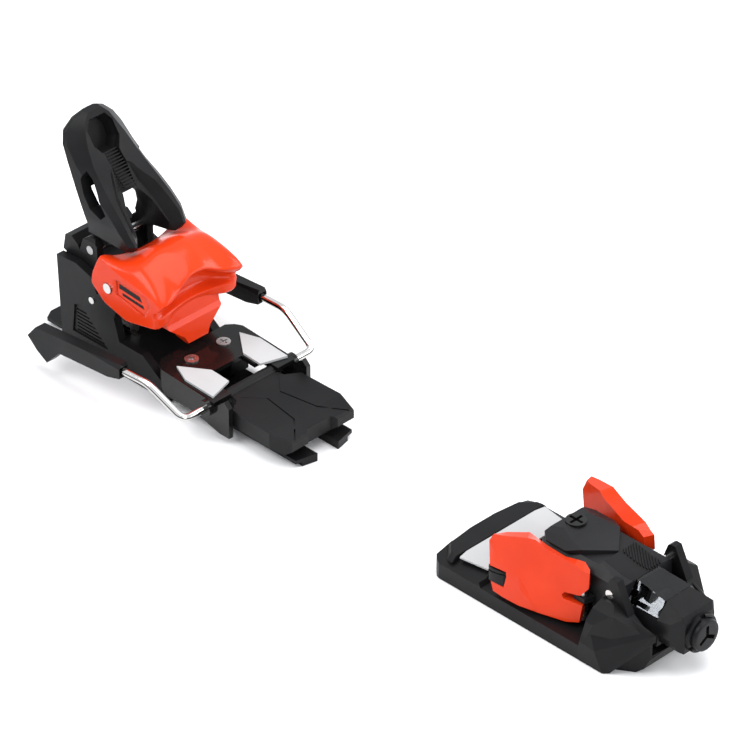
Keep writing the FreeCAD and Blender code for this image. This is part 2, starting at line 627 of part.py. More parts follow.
def heel_cup():
    """Hollow cup that holds the boot heel down."""
    body = new_body("heel_cup")
    side = [(-395.3, 63.9), (-395, 72), (-387.2, 86.6), (-361, 90.5), (-336, 80.4),
            (-330, 72.2), (-337.5, 69), (-340, 62), (-337.5, 53.2), (-362.9, 47.9), (-384, 52)]
    pad(body, "XZ", [side], -36.5, 36.5)
    trim(body, "YZ", symmetric([(30, 46), (36.5, 53), (36.5, 70), (34, 82), (30, 90.2),
                                (26, 90.2), (20, 91.5)]))
    trim(body, "XY", [(-396, -33), (-388, -36.5), (-345, -36.5), (-337, -35), (-329, -30),
                      (-329, 30), (-337, 35), (-345, 36.5), (-388, 36.5), (-396, 33)])
    pocket(body, "XZ", [rect(-346.05, 40, -320, 60.1)], -23.1, 23.1)
    heel_round = [(-328, -31), (-334, -26), (-337.5, -14), (-338.5, 0), (-337.5, 14),
                  (-334, 26), (-328, 31)]
    pocket(body, "XY", [heel_round], 40, 70)
    pocket(body, "YZ", [[(-25.5, 100), (-25.5, 88), (-20, 84.2), (20, 84.2), (25.5, 88),
                         (25.5, 100)]], -400, -362)
    inner = [(-400, 40), (-400, 70), (-393, 78), (-380, 81), (-352, 84), (-346, 78),
             (-346, 40)]
    pocket(body, "XZ", [inner], -32, 32)
    pocket(body, "XZ", [circle("cup_axle_x", "cup_axle_z", "cup_axle_radius + running_gap")],
           -40, 40)
    groove = [(-368, 78.2), (-368, 81.2), (-340.5, 81.2), (-341.5, 78.6)]
    pocket(body, "XZ", [groove], 35, 38)
    pocket(body, "XZ", [groove], -38, -35)
    return body


def heel_tread():
    """Step below the cup that the boot heel presses to close the binding."""
    body = new_body("heel_tread")
    side = [(-345.9, 60), (-345.9, 34), (-338, 31), (-334.5, 33), (-336.5, 47), (-339, 50),
            (-341, 60)]
    pad(body, "XZ", [side], -24, 24)
    trim(body, "YZ", symmetric([(7, 30), (11, 38), (23, 48), (23, 60.5)]))
    pad(body, "XZ", [[(-344, 52), (-344, 60), (-358, 60), (-385, 56), (-385, 52)]], -20, 20)
    return body


def heel_lever():
    """Two-legged lever with a pole socket; pushed down it opens the cup."""
    body = new_body("heel_lever")
    side = [(-413.5, 73), (-414.5, 79), (-409, 98), (-419, 116), (-427, 132), (-434, 147),
            (-437, 153), (-424.6, 165.7), (-420, 163), (-415, 139), (-402, 127), (-383, 113),
            (-374, 98), (-368.5, 92.5), (-370, 91), (-388, 88.6), (-401.5, 80), (-403, 73),
            (-408, 71.5)]
    pad(body, "XZ", [side], -24, 24)
    trim(body, "YZ", symmetric([(18.9, 70), (18.9, 87), (24, 91), (24, 98), (20.5, 140),
                                (19.2, 153), (7, 166.5)]))
    pocket(body, "YZ", [[(-10, 60), (-10, 100), (-5, 115), (5, 115), (10, 100), (10, 60)]],
           -450, -360)
    axle = circle("lever_axle_x", "lever_axle_z", "lever_axle_radius + running_gap")
    pocket(body, "XZ", [axle], -30, 30)
    opening = [(-411, 131), (-406, 124), (-391, 109), (-398, 102), (-407, 111), (-415, 124)]
    pocket(body, "XZ", [opening], -30, 30)
    socket = [(7, 141), (11, 146), (11, 156), (7, 160.5)]
    pocket(body, "YZ", [symmetric(socket)], -428, -400)
    channel = [(-411, 144), (-397, 131), (-386, 122), (-394, 117.6), (-404, 125.4), (-416, 136.5)]
    pocket(body, "XZ", [channel], -7, 7)
    ribs = [lever_rib(-414.5 + 1.55 * step, 136.4 - 1.42 * step) for step in range(12)]
    pocket(body, "XZ", ribs, -6, 6)
    return body


def lever_rib(x, z):
    """One fine groove across the lever's neck."""
    return [(x, z), (x + 3, z + 3.3), (x + 3.55, z + 2.8), (x + 0.55, z - 0.5)]


# ---------------------------------------------------------------- ski brake

def brake_wire():
    """Bent steel wire: a straight axle across the binding and one leg on each side."""
    parts = []
    path = [("brake_axle_x", 57, "brake_axle_z"), (-317.3, 60, 35.2), (-346, "brake_arm_y", 34),
            (-398, "brake_arm_y", 27.5)]
    for side in (1, -1):
        for number, point in enumerate(path):
            ball = doc.addObject("Part::Sphere", "brake_wire_ball")
            ball.setExpression("Radius", bound("brake_wire_radius"))
            place(ball, point, side)
            parts.append(ball)
            if number:
                parts.append(rod_between(path[number - 1], point, side))
    axle = doc.addObject("Part::Cylinder", "brake_wire_axle")
    axle.setExpression("Radius", bound("brake_wire_radius"))
    axle.Height = 114
    axle.Placement = FreeCAD.Placement(V(0, 57, 0), FreeCAD.Rotation(V(1, 0, 0), 90))
    axle.setExpression("Placement.Base.x", bound("brake_axle_x"))
    axle.setExpression("Placement.Base.z", bound("brake_axle_z"))
    parts.append(axle)
    wire = doc.addObject("Part::MultiFuse", "brake_wire")
    wire.Label = "brake_wire"
    wire.Shapes = parts
    NODES.append(wire)
    doc.recompute()
    return wire


def place(item, point, side):
    x, y, z = point
    item.setExpression("Placement.Base.x", bound(x))
    item.setExpression("Placement.Base.y", bound(f"{side} * ({y})"))
    item.setExpression("Placement.Base.z", bound(z))


def rod_between(start, end, side):
    a = V(value(start[0]), side * value(start[1]), value(start[2]))
    b = V(value(end[0]), side * value(end[1]), value(end[2]))
    rod = doc.addObject("Part::Cylinder", "brake_wire_rod")
    rod.setExpression("Radius", bound("brake_wire_radius"))
    rod.Height = (b - a).Length
    rod.Placement = FreeCAD.Placement(a, FreeCAD.Rotation(V(0, 0, 1), b - a))
    return rod


def brake_arm(label, side):
    """Plastic arm moulded round the end of the wire, with a fin that points down."""
    middle = "brake_arm_y" if side > 0 else "-brake_arm_y"
    body = new_body(label)
    outline = [(-339.4, 40.4), (-380, 36), (-418, 32.5), (-426, 23), (-417, 15), (-408, 10),
               (-396, 22.7), (-372, 24.8), (-350.4, 26.7), (-339, 30)]
    pad(body, "XZ", [outline], f"{middle} - 4", f"{middle} + 4")
    trim(body, "YZ", [(f"{middle} - 4", 8), (f"{middle} - 4", 37), (f"{middle} - 2", 42),
                      (f"{middle} + 2", 42), (f"{middle} + 4", 37), (f"{middle} + 4", 8)])
    channel = [(-336, 31.5), (-336, 37.4), (-346, 36.9), (-401, 30), (-401, 24.1), (-346, 31.1)]
    pocket(body, "XZ", [channel], f"{middle} - 3.1", f"{middle} + 3.1")
    return body


def brake_pedal():
    """Pedal that the boot presses flat; it lifts when the boot leaves."""
    body = new_body("brake_pedal")
    pad(body, "XZ", [[(-283, 22.2), (-283, 16), (-270, 11), (-226, 9.5), (-221.2, 13),
                      (-221.2, 18.5), (-222.5, 20.2), (-237.2, 22.5), (-277, 22.2)]],
        -31.6, 31.6)
    plan = [(-284, 19.5), (-279, 20.5), (-272, 31), (-237.2, 31.6), (-221.2, 27.4),
            (-221.2, 13), (-225, 10.5)]
    trim(body, "XY", plan + [(x, -y) for x, y in reversed(plan)])
    pocket(body, "XY", [rect(-271, -27, -229, 27)], 5, 17.5)
    pad(body, "XZ", [circle("brake_axle_x", "brake_axle_z", 4.6)], -19.4, 19.4)
    pad(body, "XZ", [rect("brake_axle_x", 17.4, -280, 21.6)], -19.4, 19.4)
    wire = circle("brake_axle_x", "brake_axle_z", "brake_wire_radius + running_gap")
    pocket(body, "XZ", [wire], -60, 60)
    line = [(-279.5, 18), (-266, 6), (-237.5, 10.5), (-230, 17)]
    inner = [(x + 0.7, y - 0.9) for x, y in reversed(line)]
    pocket(body, "XY", mirrored([line + inner], 1), 21.6, 30)
    front = [(-230, 17), (-219, 27.5), (-219, 26), (-230, 15.8)]
    pocket(body, "XY", mirrored([front], 1), 19.6, 30)
    bevel(body, 0.8, lambda p, e: p.z > 20 and abs(p.y) > 27 and p.x > -275)
    return body


# ---------------------------------------------------------------- build and write

def build():
    toe_base()
    pin("tilt_pin", "XZ", "tilt_pin_x", "tilt_pin_z", "tilt_pin_radius", -28.9, 28.9)
    height_nut()
    slide_carrier()
    slide_plate()
    toe_housing()
    toe_cover()
    height_screw()
    toe_window()
    toe_indicator()
    toe_cap()
    toe_adjusting_screw()
    toe_rod()
    toe_spring_seat()
    spring("toe_spring", 35.6, "toe_axis_z", 7.0, 1.3, 33.4, 5.0)
    for name, side in (("left", 1), ("right", -1)):
        pin(f"wing_pin_{name}", "XY", "wing_pin_x", f"{side} * wing_pin_y", "wing_pin_radius",
            14, 45)
        wing(f"wing_{name}", side)
        wing_pad(f"wing_pad_{name}", side)
    heel_track()
    heel_chassis()
    spring_housing()
    heel_cover_plate()
    heel_post()
    for name, side in (("left", 1), ("right", -1)):
        heel_pad(f"heel_pad_{name}", side)
        plate_screw(f"plate_screw_{name}", side)
        start, end = (25, 31.8) if side > 0 else (-31.8, -25)
        pin(f"chassis_pin_{name}", "XZ", -400.8, 45.6, 2.4, start, end)
    length_screw()
    plunger()
    spring("heel_spring", -422.4, "heel_axis_z", 8.0, 1.3, 11.9, 3.9)
    heel_adjusting_screw()
    heel_indicator()
    pin("cup_axle", "XZ", "cup_axle_x", "cup_axle_z", "cup_axle_radius", -37.5, 37.5)
    heel_cup()
    heel_tread()
    pin("lever_axle", "XZ", "lever_axle_x", "lever_axle_z", "lever_axle_radius", -25, 25)
    heel_lever()
    brake_wire()
    for name, side in (("left", 1), ("right", -1)):
        brake_arm(f"brake_arm_{name}", side)
    brake_pedal()


def check_and_write():
    doc.recompute()
    failed = [item.Label for item in doc.Objects
              if "Invalid" in item.State or "Error" in item.State]
    failed += [node.Label for node in NODES
               if node.Shape.isNull() or not node.Shape.isValid() or node.Shape.Volume < 1]
    if failed:
        raise RuntimeError("did not compute: " + ", ".join(failed))
    for node in NODES:
        shape = node.Shape
        box = shape.BoundBox
        print(f"{node.Label:22s} solids {len(shape.Solids)}  volume {shape.Volume:10.0f}  "
              f"x {box.XMin:7.1f} {box.XMax:7.1f}  y {box.YMin:6.1f} {box.YMax:6.1f}  "
              f"z {box.ZMin:6.1f} {box.ZMax:6.1f}")
        shape.exportStep(f"parts/{node.Label}.step")


build()
check_and_write()
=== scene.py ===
import json
import math
import bmesh
import bpy
from mathutils import Matrix, Vector


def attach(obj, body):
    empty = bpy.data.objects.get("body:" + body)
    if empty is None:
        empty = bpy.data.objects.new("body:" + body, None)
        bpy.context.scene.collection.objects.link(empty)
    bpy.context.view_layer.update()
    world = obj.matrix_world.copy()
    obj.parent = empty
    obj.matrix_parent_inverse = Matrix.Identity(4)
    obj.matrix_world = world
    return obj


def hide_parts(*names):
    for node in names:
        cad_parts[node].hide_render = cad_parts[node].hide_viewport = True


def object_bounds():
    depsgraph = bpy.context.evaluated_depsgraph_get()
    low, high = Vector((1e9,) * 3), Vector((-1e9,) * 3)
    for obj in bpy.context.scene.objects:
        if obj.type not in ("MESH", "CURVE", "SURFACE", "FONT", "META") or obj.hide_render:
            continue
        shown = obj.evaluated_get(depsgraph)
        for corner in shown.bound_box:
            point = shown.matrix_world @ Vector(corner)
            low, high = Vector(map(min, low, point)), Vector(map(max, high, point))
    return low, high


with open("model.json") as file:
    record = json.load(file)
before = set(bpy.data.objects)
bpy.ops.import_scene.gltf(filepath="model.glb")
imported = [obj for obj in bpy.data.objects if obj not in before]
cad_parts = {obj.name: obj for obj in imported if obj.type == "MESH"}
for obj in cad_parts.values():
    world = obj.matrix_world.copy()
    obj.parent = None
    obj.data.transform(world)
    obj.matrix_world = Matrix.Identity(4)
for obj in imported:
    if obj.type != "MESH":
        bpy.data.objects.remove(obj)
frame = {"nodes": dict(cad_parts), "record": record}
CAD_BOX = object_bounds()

# Step-in ski binding in its skiing state. Shapes are in millimetres, and are turned into
# metres when a mesh is made; the stage and the scales in the materials are in metres.
# +X points to the ski tip, +Y to the left of the ski and +Z up.
MM = 0.001

# Rounding of the edges of the CAD nodes.
NODE_EDGE = 0.45
# Size of the inset outline at each end of a loft, as a share of the end's outline.
END_INSET = 0.8
NOSE_AXIS_Z = 27.0
CUP_AXIS = (-379.0, 67.4)
LEVER_AXIS = (-408.2, 77.4)
SIDES = (("left", 1), ("right", -1))


# ---------------------------------------------------------------- materials

def new_material(name):
    material = bpy.data.materials.new(name)
    material.use_nodes = True
    tree = material.node_tree
    return material, tree, tree.nodes["Principled BSDF"]


def noise(tree, scale, detail=3.0):
    """Noise in object space, so that it stays on the piece when the piece moves."""
    coordinates = tree.nodes.new("ShaderNodeTexCoord")
    texture = tree.nodes.new("ShaderNodeTexNoise")
    texture.inputs["Scale"].default_value = scale
    texture.inputs["Detail"].default_value = detail
    tree.links.new(coordinates.outputs["Object"], texture.inputs["Vector"])
    return texture


def vary(tree, source, low, high, target):
    """Drive an input with the noise, between two values."""
    ramp = tree.nodes.new("ShaderNodeMapRange")
    ramp.inputs["From Min"].default_value = 0.3
    ramp.inputs["From Max"].default_value = 0.7
    ramp.inputs["To Min"].default_value = low
    ramp.inputs["To Max"].default_value = high
    tree.links.new(source.outputs["Fac"], ramp.inputs["Value"])
    tree.links.new(ramp.outputs["Result"], target)


def tint(tree, source, dark, light, target):
    """Drive a colour input with the noise, between two colours."""
    ramp = tree.nodes.new("ShaderNodeValToRGB")
    ramp.color_ramp.elements[0].position = 0.35
    ramp.color_ramp.elements[0].color = (*dark, 1)
    ramp.color_ramp.elements[1].position = 0.65
    ramp.color_ramp.elements[1].color = (*light, 1)
    tree.links.new(source.outputs["Fac"], ramp.inputs["Fac"])
    tree.links.new(ramp.outputs["Color"], target)


def grain(tree, shader, scale, strength):
    """Fine bumps, a tenth of a millimetre deep at full strength."""
    bump = tree.nodes.new("ShaderNodeBump")
    bump.inputs["Strength"].default_value = strength
    bump.inputs["Distance"].default_value = 0.0001
    tree.links.new(noise(tree, scale, 2.0).outputs["Fac"], bump.inputs["Height"])
    tree.links.new(bump.outputs["Normal"], shader.inputs["Normal"])


def plastic(name, dark, light, rough, grain_scale=1800, grain_strength=0.15, coat=0.0,
            specular=0.5):
    """Moulded plastic: slight colour drift, uneven sheen and a fine surface grain."""
    material, tree, shader = new_material(name)
    shader.inputs["Specular IOR Level"].default_value = specular
    tint(tree, noise(tree, 25), dark, light, shader.inputs["Base Color"])
    vary(tree, noise(tree, 60), rough[0], rough[1], shader.inputs["Roughness"])
    shader.inputs["Coat Weight"].default_value = coat
    shader.inputs["Coat Roughness"].default_value = 0.06
    grain(tree, shader, grain_scale, grain_strength)
    return material


def metal(name, colour, rough, stretch=(1, 1, 1)):
    """Bare metal with fine scratches. The base colour holds a painted reflection set by which way
    each face looks.
    A dark band below the middle of a rod stands for the dark horizon that polished metal reflects.
    Faces that look up get the full colour, and sides and undersides get painted shade."""
    material, tree, shader = new_material(name)
    shader.inputs["Metallic"].default_value = 1.0
    texture = noise(tree, 700, 4.0)
    mapping = tree.nodes.new("ShaderNodeMapping")
    mapping.inputs["Scale"].default_value = stretch
    source = texture.inputs["Vector"].links[0].from_socket
    tree.links.new(source, mapping.inputs["Vector"])
    tree.links.new(mapping.outputs["Vector"], texture.inputs["Vector"])
    geometry = tree.nodes.new("ShaderNodeNewGeometry")
    upward = tree.nodes.new("ShaderNodeSeparateXYZ")
    ramp = tree.nodes.new("ShaderNodeValToRGB")
    # Painted reflection in the base colour: painted shade on sides and undersides, a dark band for
    # the reflected horizon, full colour on faces that look up.
    side_shade_share, dark = 0.7, 0.03
    for position, share in ((0.02, side_shade_share), (0.10, side_shade_share), (0.16, dark), (0.34, dark)):
        stop = ramp.color_ramp.elements.new(position)
        stop.color = (*[c * share for c in colour], 1)
    first, last = ramp.color_ramp.elements[0], ramp.color_ramp.elements[5]
    first.color = (*[c * side_shade_share for c in colour], 1)
    last.position = 0.44
    last.color = (*colour, 1)
    tree.links.new(geometry.outputs["Normal"], upward.inputs["Vector"])
    tree.links.new(upward.outputs["Z"], ramp.inputs["Fac"])
    tree.links.new(ramp.outputs["Color"], shader.inputs["Base Color"])
    vary(tree, texture, rough[0], rough[1], shader.inputs["Roughness"])
    return material


def clear(name):
    material, tree, shader = new_material(name)
    shader.inputs["Base Color"].default_value = (0.08, 0.084, 0.09, 1)
    shader.inputs["Transmission Weight"].default_value = 1.0
    shader.inputs["IOR"].default_value = 1.49
    vary(tree, noise(tree, 120), 0.01, 0.05, shader.inputs["Roughness"])
    return material


MATERIALS = {
    "orange_plastic": plastic("orange", (0.56, 0.030, 0.004), (0.62, 0.038, 0.006),
                              (0.18, 0.26), 900, 0.05, coat=0.10, specular=0.14),
    "black_plastic": plastic("black", (0.0050, 0.0050, 0.0055), (0.0080, 0.0080, 0.0085),
                             (0.32, 0.44), 2200, 0.22, specular=0.13),
    "grey_plastic": plastic("charcoal", (0.008, 0.008, 0.009), (0.012, 0.012, 0.013),
                            (0.38, 0.48), 2200, 0.22, specular=0.16),
    "gloss_black": plastic("gloss_black", (0.004, 0.004, 0.004), (0.006, 0.006, 0.006),
                           (0.10, 0.16), 900, 0.04, specular=0.30),
    "white_plastic": plastic("white", (0.38, 0.385, 0.39), (0.42, 0.425, 0.43), (0.30, 0.42),
                             1500, 0.10, specular=0.2),
    "indicator_plastic": plastic("indicator", (0.55, 0.55, 0.52), (0.65, 0.65, 0.62),
                                 (0.3, 0.4)),
    "black_steel": plastic("black_steel", (0.004, 0.004, 0.004), (0.008, 0.008, 0.008),
                           (0.25, 0.35), 1200, 0.12, coat=0.1, specular=0.3),
    "bright_steel": metal("bright_steel", (0.80, 0.79, 0.77), (0.07, 0.16)),
    "steel": metal("steel", (0.52, 0.52, 0.52), (0.22, 0.38), stretch=(1, 12, 1)),
    "clear_plastic": clear("clear"),
}


# ---------------------------------------------------------------- CAD nodes that stay in view

def round_edges(item, width, segments, angle):
    """Round the edges that are sharper than an angle; millimetres and degrees."""
    edge = item.modifiers.new("edge", "BEVEL")
    edge.width = width * MM
    edge.segments = segments
    edge.limit_method = "ANGLE"
    edge.angle_limit = math.radians(angle)
    edge.harden_normals = True
    item.modifiers.new("shade", "WEIGHTED_NORMAL").keep_sharp = True


def crisp(item):
    """Round the hard edges of a node without touching its mesh."""
    merge = item.modifiers.new("planar", "DECIMATE")
    merge.decimate_type = "DISSOLVE"
    merge.angle_limit = math.radians(1.0)
    round_edges(item, NODE_EDGE, 3, 18)


def dress_nodes():
    """Materials and rounded edges for the nodes; round wires have no edges to round."""
    slots = {part["node"]: part["material_slot"] for part in frame["record"]["subparts"]}
    round_wires = {"toe_spring", "heel_spring", "brake_wire"}
    for name, item in frame["nodes"].items():
        item.data.materials.clear()
        look = "gloss_black" if name == "heel_cover_plate" else slots[name]
        item.data.materials.append(MATERIALS[look])
        if name not in round_wires:
            crisp(item)


# ---------------------------------------------------------------- mesh helpers

def turn_outwards(mesh):
    """Make all faces of a closed mesh face outwards."""
    shape = bmesh.new()
    shape.from_mesh(mesh)
    bmesh.ops.recalc_face_normals(shape, faces=shape.faces)
    shape.to_mesh(mesh)
    shape.free()


def new_object(name, vertices, faces, material, body, replaced=()):
    """A mesh from points in millimetres, carried by a body of the frame."""
    mesh = bpy.data.meshes.new(name)
    mesh.from_pydata([[number * MM for number in point] for point in vertices], [], faces)
    item = bpy.data.objects.new(name, mesh)
    bpy.context.scene.collection.objects.link(item)
    turn_outwards(mesh)
    mesh.materials.append(MATERIALS[material])
    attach(item, body)
    if replaced:
        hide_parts(*replaced)
    return item


def bake(item):
    """Turn the modifiers into the mesh."""
    bpy.context.view_layer.update()
    graph = bpy.context.evaluated_depsgraph_get()
    mesh = bpy.data.meshes.new_from_object(item.evaluated_get(graph))
    item.modifiers.clear()
    item.data = mesh
    return item


def smooth(item):
    for face in item.data.polygons:
        face.use_smooth = True
    return item


def soften(item, width, segments=3, angle=25):
    """Rounded edges on a faceted piece."""
    smooth(item)
    round_edges(item, width, segments, angle)
    return item


def loft(loops):
    """Points and faces that join closed loops of equal length, with an inset at both ends."""
    count = len(loops[0])

    def inner(loop, share):
        centre = [sum(point[i] for point in loop) / count for i in range(3)]
        return [[c + (v - c) * share for c, v in zip(centre, point)] for point in loop]

    rings = [inner(loops[0], END_INSET)] + list(loops) + [inner(loops[-1], END_INSET)]
    vertices = [point for ring in rings for point in ring]
    faces = []
    for ring in range(len(rings) - 1):
        for i in range(count):
            j = (i + 1) % count
            low, high = ring * count, (ring + 1) * count
            faces.append((low + i, low + j, high + j, high + i))
    last = (len(rings) - 1) * count
    faces.append(tuple(range(count)))
    faces.append(tuple(range(last, last + count)))
    return vertices, faces


def crease(item, count, rings, ridges):
    """Crease a loft: whole rings, and ridges that run from ring to ring, with their sharpness."""
    layer = item.data.attributes.new("crease_edge", "FLOAT", "EDGE")
    for edge in item.data.edges:
        (ring_a, a), (ring_b, b) = (divmod(v, count) for v in edge.vertices)
        if ring_a == ring_b:
            layer.data[edge.index].value = rings.get(ring_a, 0)
        elif a == b:
            layer.data[edge.index].value = ridges.get(a, 0)


def circle(centre, radius, count):
    """Corners of a round outline."""
    a, b = centre
    return [(a + radius * math.cos(2 * math.pi * k / count),
             b + radius * math.sin(2 * math.pi * k / count)) for k in range(count)]


def mirrored(points):
    """Outline or loop that goes on, in reverse order, on the other side of the middle."""
    return list(points) + [(x, -y, *rest) for x, y, *rest in reversed(points)]


def band(side, near, far):
    """Span from near to far from the middle on one side, lower end first."""
    return sorted((side * near, side * far))


def prism(outline, axis, low, high):
    """An outline in the plane across the axis (0, 1 or 2), drawn out from low to high."""
    def point(a, b, along):
        coordinates = [a, b]
        coordinates.insert(axis, along)
        return coordinates
    count = len(outline)
    vertices = [point(a, b, low) for a, b in outline] + [point(a, b, high) for a, b in outline]
    faces = [tuple(range(count)), tuple(range(count, 2 * count))]
    faces += [(i, (i + 1) % count, count + (i + 1) % count, count + i) for i in range(count)]
    return vertices, faces


def carve(item, shapes):
    """Cut shapes (points and faces) out of a piece."""
    cutters = []
    for vertices, faces in shapes:
        mesh = bpy.data.meshes.new("cutter")
        mesh.from_pydata([[v * MM for v in point] for point in vertices], [], faces)
        turn_outwards(mesh)
        cutter = bpy.data.objects.new("cutter", mesh)
        bpy.context.scene.collection.objects.link(cutter)
        cut = item.modifiers.new("cut", "BOOLEAN")
        cut.operation = "DIFFERENCE"
        cut.solver = "EXACT"
        cut.object = cutter
        cutters.append(cutter)
    bake(item)
    for cutter in cutters:
        bpy.data.objects.remove(cutter)
    return item


def tube(name, path, radius, bend, material, body, replaced=()):
    """Round wire along a path in millimetres, with rounded bends."""
    sides, bend_steps = 20, 8
    points = [Vector(point) for point in path]
    line = [points[0]]
    for before, corner, after in zip(points, points[1:], points[2:]):
        start = corner + (before - corner).normalized() * bend
        end = corner + (after - corner).normalized() * bend
        for step in range(bend_steps + 1):
            share = step / bend_steps
            line.append(start.lerp(corner, share).lerp(corner.lerp(end, share), share))
    line.append(points[-1])
    side_axis = (line[1] - line[0]).orthogonal().normalized()
    vertices = []
    for number, centre in enumerate(line):
        ahead = line[min(number + 1, len(line) - 1)] - line[max(number - 1, 0)]
        ahead.normalize()
        side_axis = (side_axis - ahead * side_axis.dot(ahead)).normalized()
        other = ahead.cross(side_axis)
        for k in range(sides):
            turn = 2 * math.pi * k / sides
            vertices.append(centre + (side_axis * math.cos(turn) + other * math.sin(turn)) * radius)
    faces = []
    for ring in range(len(line) - 1):
        for k in range(sides):
            n = (k + 1) % sides
            faces.append((ring * sides + k, ring * sides + n,
                          (ring + 1) * sides + n, (ring + 1) * sides + k))
    faces.append(tuple(range(sides)))
    faces.append(tuple(range(len(vertices) - sides, len(vertices))))
    return smooth(new_object(name, vertices, faces, material, body, replaced))


# ---------------------------------------------------------------- toe wings

# Matching corners of a wing's outer and inner faces: x, distance from the middle, z.
WING_CORNERS = [
    ((-33.8, 44.0, 49.4), (-35.0, 39.0, 45.0)),
    ((-31.3, 42.8, 54.7), (-32.5, 40.0, 52.5)),
    ((-23.2, 41.6, 56.6), (-26.8, 36.0, 55.0)),
    ((-8.5, 37.6, 60.6), (-13.0, 30.5, 59.0)),
    ((-3.6, 35.6, 60.6), (-8.0, 29.0, 56.4)),
    ((5.6, 34.4, 57.2), (-1.0, 28.0, 54.2)),
    ((18.2, 32.2, 55.4), (11.8, 25.5, 51.2)),
    ((24.6, 31.0, 54.4), (20.1, 24.0, 52.4)),
    ((30.4, 29.6, 51.6), (25.6, 23.2, 53.0)),
    ((34.2, 28.4, 51.2), (29.8, 23.4, 49.6)),
    ((34.4, 29.2, 40.6), (31.0, 24.0, 39.0)),
    ((29.4, 31.2, 34.0), (27.0, 23.0, 33.0)),
    ((18.0, 32.8, 31.8), (16.5, 23.0, 31.8)),
    ((16.4, 33.4, 29.5), (15.5, 23.0, 29.5)),
    ((18.2, 33.6, 27.5), (16.5, 23.0, 27.5)),
    ((31.4, 31.2, 27.5), (29.0, 23.4, 27.5)),
    ((30.0, 32.0, 15.0), (28.0, 23.0, 14.4)),
    ((22.0, 35.0, 13.0), (20.0, 23.0, 12.9)),
    ((4.0, 40.2, 12.9), (2.0, 25.5, 12.9)),
    ((-10.0, 43.4, 12.9), (-12.0, 31.0, 12.9)),
    ((-22.0, 44.0, 13.0), (-24.0, 36.0, 12.9)),
    ((-30.0, 44.1, 13.8), (-31.0, 39.0, 13.4)),
    ((-32.0, 44.2, 20.4), (-33.0, 39.5, 20.0)),
    ((-33.0, 44.2, 33.1), (-34.0, 39.5, 33.0)),
]
# Points inside the outer face, where its flats meet. They follow the outer corners in
# WING_FLATS, which lists the corners of each flat.
WING_CREASE = [(-29.5, 44.4, 44.0), (-16.0, 43.2, 34.8), (-10.4, 42.2, 33.6), (4.4, 38.8, 33.3),
               (-8.0, 43.4, 25.6)]
WING_FLATS = [(0, 1, 2, 24), (24, 2, 3, 25), (3, 4, 26, 25), (4, 5, 27, 26), (5, 6, 12, 27),
              (6, 7, 8, 11, 12), (8, 9, 10, 11), (0, 24, 23), (24, 25, 23), (23, 25, 28, 22),
              (25, 26, 28), (22, 28, 20, 21), (28, 19, 20), (28, 26, 18), (28, 18, 19),
              (26, 27, 18), (27, 12, 13), (27, 13, 14, 17, 18), (14, 15, 16, 17)]


def build_wing(name, side):
    """Faceted wing with a slot for its pad."""
    count = len(WING_CORNERS)
    points = [outer for outer, _ in WING_CORNERS] + WING_CREASE
    start = len(points)
    points += [inner for _, inner in WING_CORNERS]
    faces = list(WING_FLATS)
    for i in range(count):
        j = (i + 1) % count
        faces.append((i, j, start + j, start + i))
    faces.append(tuple(range(start, start + count)))
    vertices = [(x, side * y, z) for x, y, z in points]
    shell = new_object(f"wing_shell_{name}", vertices, faces, "orange_plastic", f"{name}_wing",
                       [f"wing_{name}"])
    pad_slot = [(-36, 31.2), (-20, 32.4), (-19.6, 29), (-21.6, 20.4), (-37, 20.4)]
    carve(shell, [prism(pad_slot, 1, *band(side, 40, 46))])
    return soften(shell, 1.3, 4, 14)


def build_wing_pad(name, side):
    """Soft insert at the rear of a wing, with a slit across it."""
    plan = [(-35, 40.2), (-34.6, 43.4), (-33, 44.7), (-30, 45), (-26, 44.6), (-22, 43.6),
            (-20.4, 42), (-20.2, 40.2)]
    vertices, faces = prism([(x, side * y) for x, y in plan], 2, 20.9, 31)
    pad = new_object(f"pad_block_{name}", vertices, faces, "black_plastic", f"{name}_wing",
                     [f"wing_pad_{name}"])
    slit = [(-35.5, 27.6), (-20.8, 28.8), (-20.8, 29.5), (-35.5, 28.4)]
    carve(pad, [prism(slit, 1, *band(side, 42.6, 46))])
    return soften(pad, 0.6, 3, 20)


# ---------------------------------------------------------------- rest of the toe piece

# Corners of the faceted body at the front of the base: x, distance from the middle, z.
FRONT_BODY = [(42, 44.8, 0.2), (61, 44.8, 0.2), (64, 41.8, 0.2), (63.6, 30, 0.2),
              (60, 23.3, 0.2), (42, 30, 0.2), (42, 44.8, 14), (54, 44.6, 13),
              (43.5, 40.2, 30.6), (44.4, 36.2, 36.2), (46.6, 30.2, 41.6), (46.6, 29, 41.6),
              (54, 28.9, 39.2), (84, 24.8, 29.2), (84.2, 23.3, 29), (85, 24.4, 25.4),
              (73, 23.3, 13)]
# Rear deck of the base, behind the white plate.
REAR_DECK = [(-83, 12, 14), (-81, 32, 14), (-71.6, 41.5, 14), (-66.7, 42.6, 14),
             (-81.6, 10, 18.2), (-79.4, 29.5, 18.2), (-71.5, 37.6, 18.2), (-66.7, 38.5, 18.2)]
# Top of the toe housing: where its slope ends, and the height of the level part in front.
HOUSING_BEND_X = 46.2
HOUSING_LEVEL_Z = 48.8


def build_hull(name, corners, body, width):
    """Faceted body with flat faces around its corners."""
    item = new_object(name, corners, [], "black_plastic", body)
    shape = bmesh.new()
    shape.from_mesh(item.data)
    result = bmesh.ops.convex_hull(shape, input=shape.verts)
    loose = {part for part in result["geom_interior"] if isinstance(part, bmesh.types.BMVert)}
    bmesh.ops.delete(shape, geom=list(loose), context="VERTS")
    bmesh.ops.dissolve_limit(shape, angle_limit=0.02, verts=shape.verts, edges=shape.edges)
    bmesh.ops.recalc_face_normals(shape, faces=shape.faces)
    shape.to_mesh(item.data)
    shape.free()
    return soften(item, width, 3, 8)


